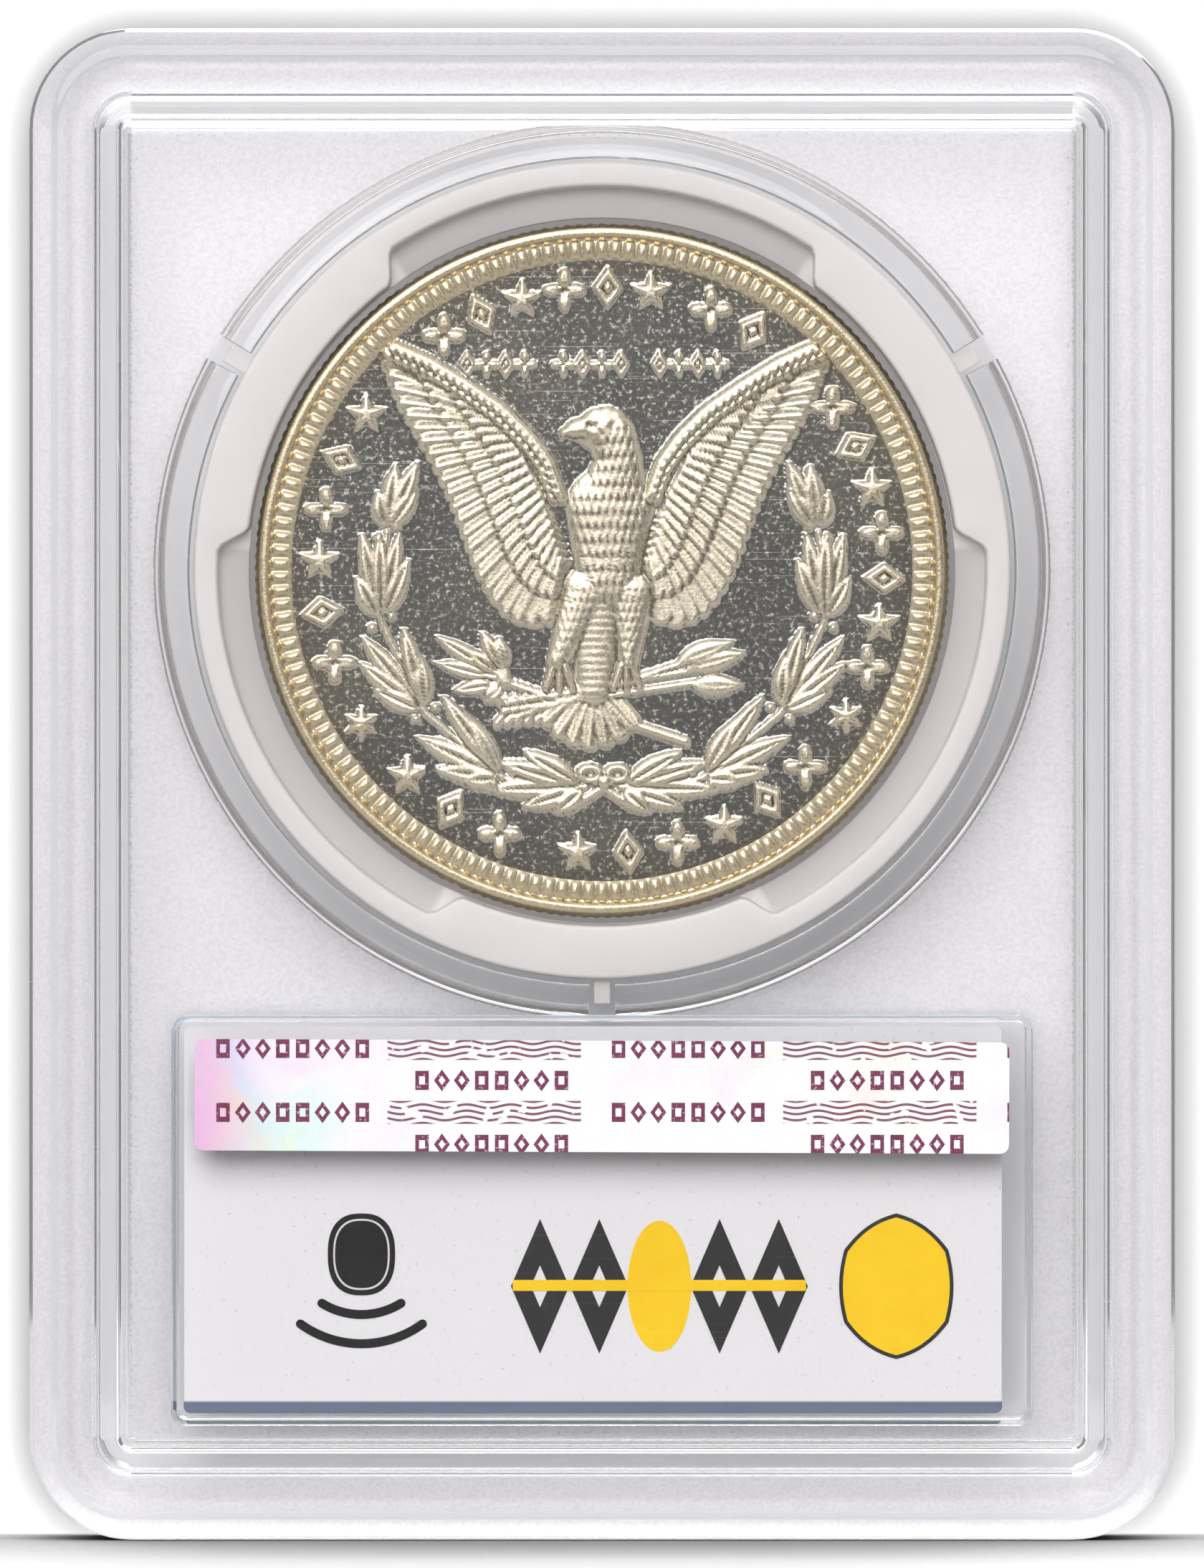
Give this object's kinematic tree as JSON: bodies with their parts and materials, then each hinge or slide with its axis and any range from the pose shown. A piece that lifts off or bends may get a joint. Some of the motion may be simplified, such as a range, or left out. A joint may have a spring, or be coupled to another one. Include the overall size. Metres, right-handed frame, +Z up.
{
  "type": "graded coin slab",
  "caption": "Sealed clear holder for a graded coin: welded frosted shells, a pronged gasket gripping the coin, and a label window with a contactless tag and an iridescent seal strip.",
  "frame": {"origin": "middle of the bottom edge, on the weld plane between the halves, with the slab standing upright on its short edge", "axes": "+X to the right as the seal strip's side is seen, +Z up the slab's length from the label to the coin, +Y through the thickness from the seal's side to the front label's side"},
  "size_m": [0.0628, 0.0076, 0.0828],
  "materials": {
    "shell_back": "gloss",
    "shell_front": "gloss",
    "gasket": "satin",
    "coin": "polished",
    "label_paper": "matte",
    "front_label_paper": "matte",
    "tag_film": "satin",
    "antenna_foil": "satin",
    "chip": "satin",
    "seal": "gloss"
  },
  "bodies": {
    "root": {"back_shell": "shell_back", "front_shell": "shell_front", "coin_gasket": "gasket", "coin": "coin", "back_label": "label_paper", "front_label": "front_label_paper", "tag_film": "tag_film", "tag_antenna": "antenna_foil", "tag_chip": "chip", "hologram_seal": "seal"}
  },
  "joints": []
}
